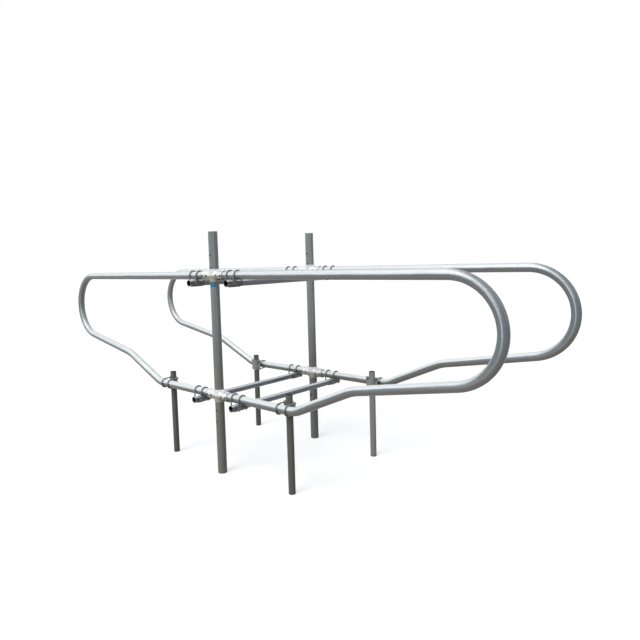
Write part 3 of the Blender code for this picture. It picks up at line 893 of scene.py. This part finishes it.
def add_surroundings():
    """White to the eye, and for its light a pale sky, brighter overhead and dimmer on one side."""
    world = bpy.data.worlds.new("studio")
    world.use_nodes = True
    bpy.context.scene.world = world
    tree = world.node_tree
    tree.nodes.clear()
    start = Shade(tree)
    heading = start.node("ShaderNodeTexCoord", {}, {}, "Generated")
    side = start.node("ShaderNodeVectorMath", {"operation": "DOT_PRODUCT"},
                      {0: heading, 1: SKY_DARK_SIDE}, "Value")
    sky = heading.axis("Z").between(0.0, 1.0) * SKY_OVERHEAD + SKY_LEAST - side * SKY_ASIDE
    shown = start.node("ShaderNodeBackground", {}, {"Color": rgba(WHITE), "Strength": 1.0})
    light = start.node("ShaderNodeBackground", {}, {"Color": rgba(SKY_TINT), "Strength": sky})
    both = start.node("ShaderNodeMixShader", {}, {0: seen(start), 1: light, 2: shown})
    start.node("ShaderNodeOutputWorld", {}, {"Surface": both})


def add_floor():
    """White floor that keeps the stall's shadow."""
    far = FLOOR_REACH
    corners = np.array([[[-far, -far, 0], [-far, far, 0]], [[far, -far, 0], [far, far, 0]]], float)
    mesh = grid_mesh("floor", [(corners, False, False)])
    floor = bpy.data.objects.new("floor", mesh)
    bpy.context.scene.collection.objects.link(floor)
    material = bpy.data.materials.new("floor_white")
    material.use_nodes = True
    tree = material.node_tree
    tree.nodes.clear()
    start = Shade(tree)
    visible = seen(start)
    grey = visible.mix(rgba(FLOOR_BOUNCE), rgba(FLOOR_GREY))
    pale = start.node("ShaderNodeBsdfDiffuse", {}, {"Color": grey})
    glow = start.node("ShaderNodeEmission", {},
                      {"Color": rgba(WHITE), "Strength": visible * FLOOR_GLOW})
    both = start.node("ShaderNodeAddShader", {}, {0: pale, 1: glow})
    start.node("ShaderNodeOutputMaterial", {}, {"Surface": both})
    mesh.materials.append(material)


def add_overhead_light():
    """A broad soft light from above and a little from the near side."""
    lamp = bpy.data.lights.new("overhead", "SUN")
    lamp.energy = SUN_STRENGTH
    lamp.angle = SUN_WIDTH
    sun = bpy.data.objects.new("overhead", lamp)
    sun.rotation_euler = Vector(SUN_FROM).to_track_quat("Z", "Y").to_euler()
    bpy.context.scene.collection.objects.link(sun)


def all_finishes():
    """The material of each kind of piece: its bright colour for painted light above, its dull and
    under colours for painted shade on its sides and underneath, how rough and how metallic it is,
    and how it has weathered."""
    finish = {
        "loop": zinc("zinc_on_loops", (0.77, 0.80, 0.81), (0.165, 0.195, 0.215),
                     (0.24, 0.222, 0.195), 0.4, 0.3, grime_and_shade=1.0, specks=0.15),
        "near_post": zinc("zinc_on_near_post", (0.38, 0.425, 0.42), (0.22, 0.255, 0.255),
                          (0.2, 0.2, 0.19), 0.5, 0.12, soil=(0.2, 0.185, 0.165), low=0.9,
                          sawn=0.8, tape=True),
        "far_post": zinc("zinc_on_far_post", (0.44, 0.485, 0.48), (0.23, 0.26, 0.26),
                         (0.2, 0.2, 0.19), 0.5, 0.15, soil=(0.15, 0.145, 0.135), low=0.8,
                         sawn=0.8),
        "rail": zinc("zinc_on_rails", (0.83, 0.87, 0.91), (0.15, 0.15, 0.185),
                     (0.17, 0.168, 0.18), 0.36, 0.3, line=0.62),
        "leg": zinc("weathered_zinc", (0.20, 0.195, 0.175), (0.12, 0.117, 0.103),
                    (0.09, 0.086, 0.076), 0.55, 0.1, low=0.5, sawn=0.9),
        "pale_leg": zinc("pale_weathered_zinc", (0.40, 0.38, 0.355), (0.27, 0.255, 0.24),
                         (0.19, 0.18, 0.17), 0.5, 0.15, low=0.15, sawn=0.9),
        "saddle": zinc("zinc_on_saddles", (0.32, 0.305, 0.28), (0.17, 0.16, 0.145),
                       (0.09, 0.082, 0.07), 0.5, 0.2),
        "leg_saddle": zinc("zinc_on_leg_saddles", (0.5, 0.51, 0.5), (0.27, 0.275, 0.27),
                           (0.16, 0.16, 0.155), 0.5, 0.2),
        "fastener": zinc("dull_zinc", (0.31, 0.32, 0.345), (0.155, 0.16, 0.175),
                         (0.08, 0.078, 0.075), 0.42, 0.25),
        "bolt": zinc("stained_zinc", (0.20, 0.165, 0.12), (0.10, 0.08, 0.06),
                     (0.05, 0.042, 0.035), 0.5, 0.2),
    }
    # Clamps are painted lit above their middle height, with a painted shadow at their rims
    for level, z in LEVELS.items():
        finish[f"{level}_clamp"] = zinc(
            f"zinc_on_{level}_clamps", (0.92, 0.93, 0.93), (0.36, 0.34, 0.29),
            (0.30, 0.27, 0.21), 0.28, 0.3, line=0.0, specks=0.0, patchy=0.35, middle=z,
            rim=SHELL_HALF_LENGTH)
    return finish


def build():
    """The whole stall, its viewpoint and its stage."""
    finish = all_finishes()
    for divider in DIVIDER_Y:
        add_divider(divider, finish)
    add_rails_and_legs(finish)
    add_camera()
    bpy.context.scene.view_settings.view_transform = "Standard"
    add_surroundings()
    add_floor()
    add_overhead_light()


build()
